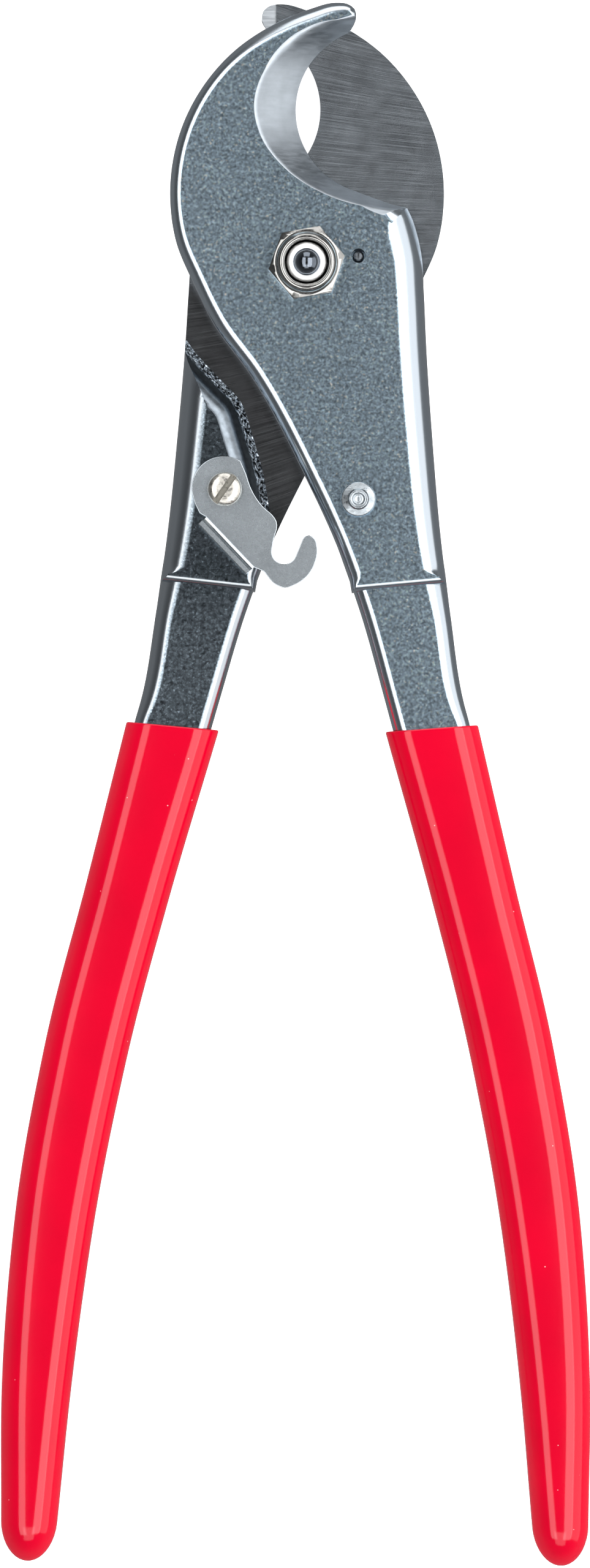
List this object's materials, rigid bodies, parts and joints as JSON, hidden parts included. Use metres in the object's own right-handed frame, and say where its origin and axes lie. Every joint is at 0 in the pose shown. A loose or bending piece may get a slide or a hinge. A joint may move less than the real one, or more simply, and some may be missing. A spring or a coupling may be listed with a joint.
{
  "type": "hand cable cutter",
  "caption": "Two-lever hand cable cutter with hooked bypass jaws, a pivot bolt, a hook latch that holds the handles shut, and red grips.",
  "frame": {"origin": "on the pivot axis, at the outer face of the bolt head, level with the undersides of the grips", "axes": "+Y along the tool towards the jaws, +X towards the front lever's handle, +Z along the pivot towards the nut"},
  "size_m": [0.115, 0.3049, 0.0227],
  "materials": {
    "plated_steel": "satin",
    "bright_steel": "polished",
    "zinc_sheet": "satin",
    "nylon": "matte",
    "red_plastic": "gloss"
  },
  "bodies": {
    "rear_lever": {"blade_lever": "plated_steel", "left_grip": "red_plastic", "pivot_bolt": "bright_steel", "pivot_nut": "bright_steel", "nut_lock_ring": "nylon", "latch_screw": "bright_steel", "latch_washer": "zinc_sheet"},
    "front_lever": {"hook_lever": "plated_steel", "right_grip": "red_plastic", "stop_pin": "bright_steel", "catch_stud": "bright_steel"},
    "latch": {"latch_plate": "zinc_sheet"}
  },
  "joints": [
    {"name": "pivot", "type": "hinge", "parent": "rear_lever", "child": "front_lever", "pos_m": [0, 0, 0.0069], "axis": [0, 0, 1], "range_deg": [-11.7, 46]},
    {"name": "latch_turn", "type": "hinge", "parent": "rear_lever", "child": "latch", "pos_m": [-0.0155, -0.044, 0.0139], "axis": [0, 0, 1], "range_deg": [-40, 36]}
  ]
}
